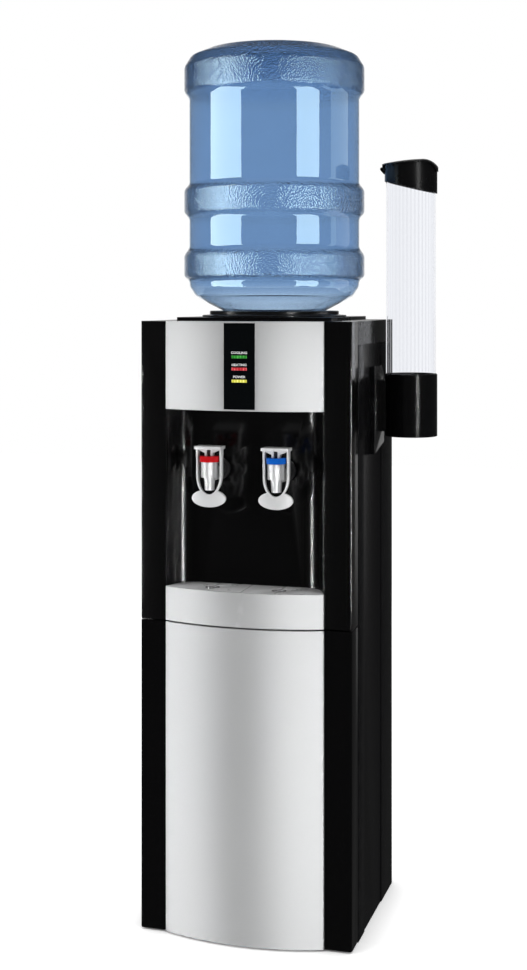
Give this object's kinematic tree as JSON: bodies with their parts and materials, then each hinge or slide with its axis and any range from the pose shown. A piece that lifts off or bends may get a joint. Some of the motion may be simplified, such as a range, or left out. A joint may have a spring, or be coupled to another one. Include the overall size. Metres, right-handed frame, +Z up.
{
  "type": "bottled water dispenser",
  "caption": "Free-standing hot and cold water dispenser with an upturned bottle on top, sprung push taps, a drip tray, a storage cupboard below and a cup holder on its side.",
  "frame": {"origin": "on the floor under the middle of the cabinet, midway between its side sheets and between its front columns and its rear edge", "axes": "+X to the right as seen from the front, +Y to the rear, +Z up"},
  "size_m": [0.402, 0.323, 1.282],
  "materials": {
    "black_moulding": "moulded gloss black",
    "black_sheet": "satin black paint on sheet steel",
    "silver_moulding": "metallic silver paint on a moulding",
    "zinc_sheet": "zinc-coated sheet steel",
    "dark_strip": "gloss dark strip",
    "green_window": "clear green",
    "red_window": "clear red",
    "yellow_window": "clear yellow",
    "circuit_board": "solder mask",
    "white_plastic": "moulded white",
    "stainless": "drawn stainless steel",
    "foam": "expanded foam",
    "copper": "drawn copper",
    "black_enamel": "black enamel",
    "black_rubber": "matt",
    "hose": "translucent silicone",
    "black_trim": "fine texture",
    "tap_plastic": "silver painted moulding",
    "red_ring": "moulded red",
    "blue_ring": "moulded blue",
    "spring_steel": "drawn wire",
    "tray_plastic": "moulded dark grey",
    "grille_plastic": "moulded grey",
    "rosette_chrome": "plated",
    "bottle_plastic": "clear blue polycarbonate",
    "bottle_cap_plastic": "moulded blue",
    "clear_tube": "clear fluted styrene",
    "red_rocker": "moulded red",
    "green_rocker": "moulded green"
  },
  "bodies": {
    "cabinet": {"base_pan": "zinc_sheet", "left_side_panel": "black_sheet", "right_side_panel": "black_sheet", "rear_panel": "black_sheet", "top_cover": "black_moulding", "upper_front_frame": "black_moulding", "top_front_panel": "silver_moulding", "indicator_strip": "dark_strip", "green_lens": "green_window", "red_lens": "red_window", "yellow_lens": "yellow_window", "indicator_board": "circuit_board", "bottle_seat": "black_moulding", "bottle_probe": "white_plastic", "cold_tank": "stainless", "tank_jacket": "foam", "evaporator_coil": "copper", "tank_bracket": "zinc_sheet", "hot_tank": "stainless", "tank_shelf": "zinc_sheet", "storage_box": "white_plastic", "compressor": "black_enamel", "compressor_grommets": "black_rubber", "refrigerant_pipes": "copper", "water_pipes": "hose", "drain_outlet": "white_plastic", "condenser_tube": "black_enamel", "condenser_wires": "black_enamel", "switch_plate": "black_trim", "cord_inlet": "black_trim", "door_hinges": "zinc_sheet", "door_magnet": "black_trim", "tap_bodies": "tap_plastic", "hot_ring": "red_ring", "cold_ring": "blue_ring", "tap_fittings": "black_trim", "cup_bracket": "black_moulding", "cup_housing": "black_moulding", "cup_tube": "clear_tube", "cup_cap_ring": "black_moulding", "cup_gripper": "white_plastic", "hot_spring": "spring_steel", "cold_spring": "spring_steel"},
    "door": {"door_frame": "black_moulding", "door_panel": "silver_moulding", "door_back": "black_trim", "door_strike": "zinc_sheet"},
    "hot_stem": {"hot_stem": "black_trim"},
    "cold_stem": {"cold_stem": "black_trim"},
    "hot_lever": {"hot_lever": "tap_plastic"},
    "cold_lever": {"cold_lever": "tap_plastic"},
    "tray": {"drip_tray": "tray_plastic", "tray_front": "silver_moulding"},
    "grille": {"drip_grille": "grille_plastic", "grille_rosettes": "rosette_chrome"},
    "bottle": {"bottle": "bottle_plastic", "bottle_cap": "bottle_cap_plastic"},
    "cup_lid": {"cup_lid": "black_moulding"},
    "hot_switch": {"hot_switch": "red_rocker"},
    "cold_switch": {"cold_switch": "green_rocker"}
  },
  "joints": [
    {"name": "door_hinge", "type": "hinge", "parent": "cabinet", "child": "door", "pos_m": [0.146, -0.122, 0.224], "axis": [0, 0, 1], "range_deg": [0, 110]},
    {"name": "hot_stem_lift", "type": "slide", "parent": "cabinet", "child": "hot_stem", "axis": [0, 0, 1], "range_m": [0, 0.003], "stiffness_N_per_m": 600, "springref_m": -0.001, "deforming": ["hot_spring"]},
    {"name": "cold_stem_lift", "type": "slide", "parent": "cabinet", "child": "cold_stem", "axis": [0, 0, 1], "range_m": [0, 0.003], "stiffness_N_per_m": 600, "springref_m": -0.001, "deforming": ["cold_spring"]},
    {"name": "hot_lever_turn", "type": "hinge", "parent": "hot_stem", "child": "hot_lever", "pos_m": [-0.049, -0.148, 0.687], "axis": [1, 0, 0], "range_deg": [0, 12], "stiffness_Nm_per_rad": 0.15, "springref_deg": -2.86},
    {"name": "cold_lever_turn", "type": "hinge", "parent": "cold_stem", "child": "cold_lever", "pos_m": [0.049, -0.148, 0.687], "axis": [1, 0, 0], "range_deg": [0, 12], "stiffness_Nm_per_rad": 0.15, "springref_deg": -2.86},
    {"name": "tray_slide", "type": "slide", "parent": "cabinet", "child": "tray", "axis": [0, -1, 0], "range_m": [0, 0.07]},
    {"name": "grille_lift", "type": "slide", "parent": "tray", "child": "grille", "axis": [0, 0, 1], "range_m": [0, 0.04]},
    {"name": "bottle_lift", "type": "slide", "parent": "cabinet", "child": "bottle", "axis": [0, 0, 1], "range_m": [0, 0.15]},
    {"name": "cup_lid_hinge", "type": "hinge", "parent": "cabinet", "child": "cup_lid", "pos_m": [0.1655, 0.017, 1.094], "axis": [0, -1, 0], "range_deg": [0, 90]},
    {"name": "hot_switch_rock", "type": "hinge", "parent": "cabinet", "child": "hot_switch", "pos_m": [-0.057, 0.141, 0.817], "axis": [1, 0, 0], "range_deg": [0, 16]},
    {"name": "cold_switch_rock", "type": "hinge", "parent": "cabinet", "child": "cold_switch", "pos_m": [-0.083, 0.141, 0.817], "axis": [1, 0, 0], "range_deg": [0, 16]}
  ],
  "couplings": [
    {"joint": "hot_lever_turn", "follows": "hot_stem_lift", "rad_per_m": 69.813},
    {"joint": "cold_lever_turn", "follows": "cold_stem_lift", "rad_per_m": 69.813}
  ]
}
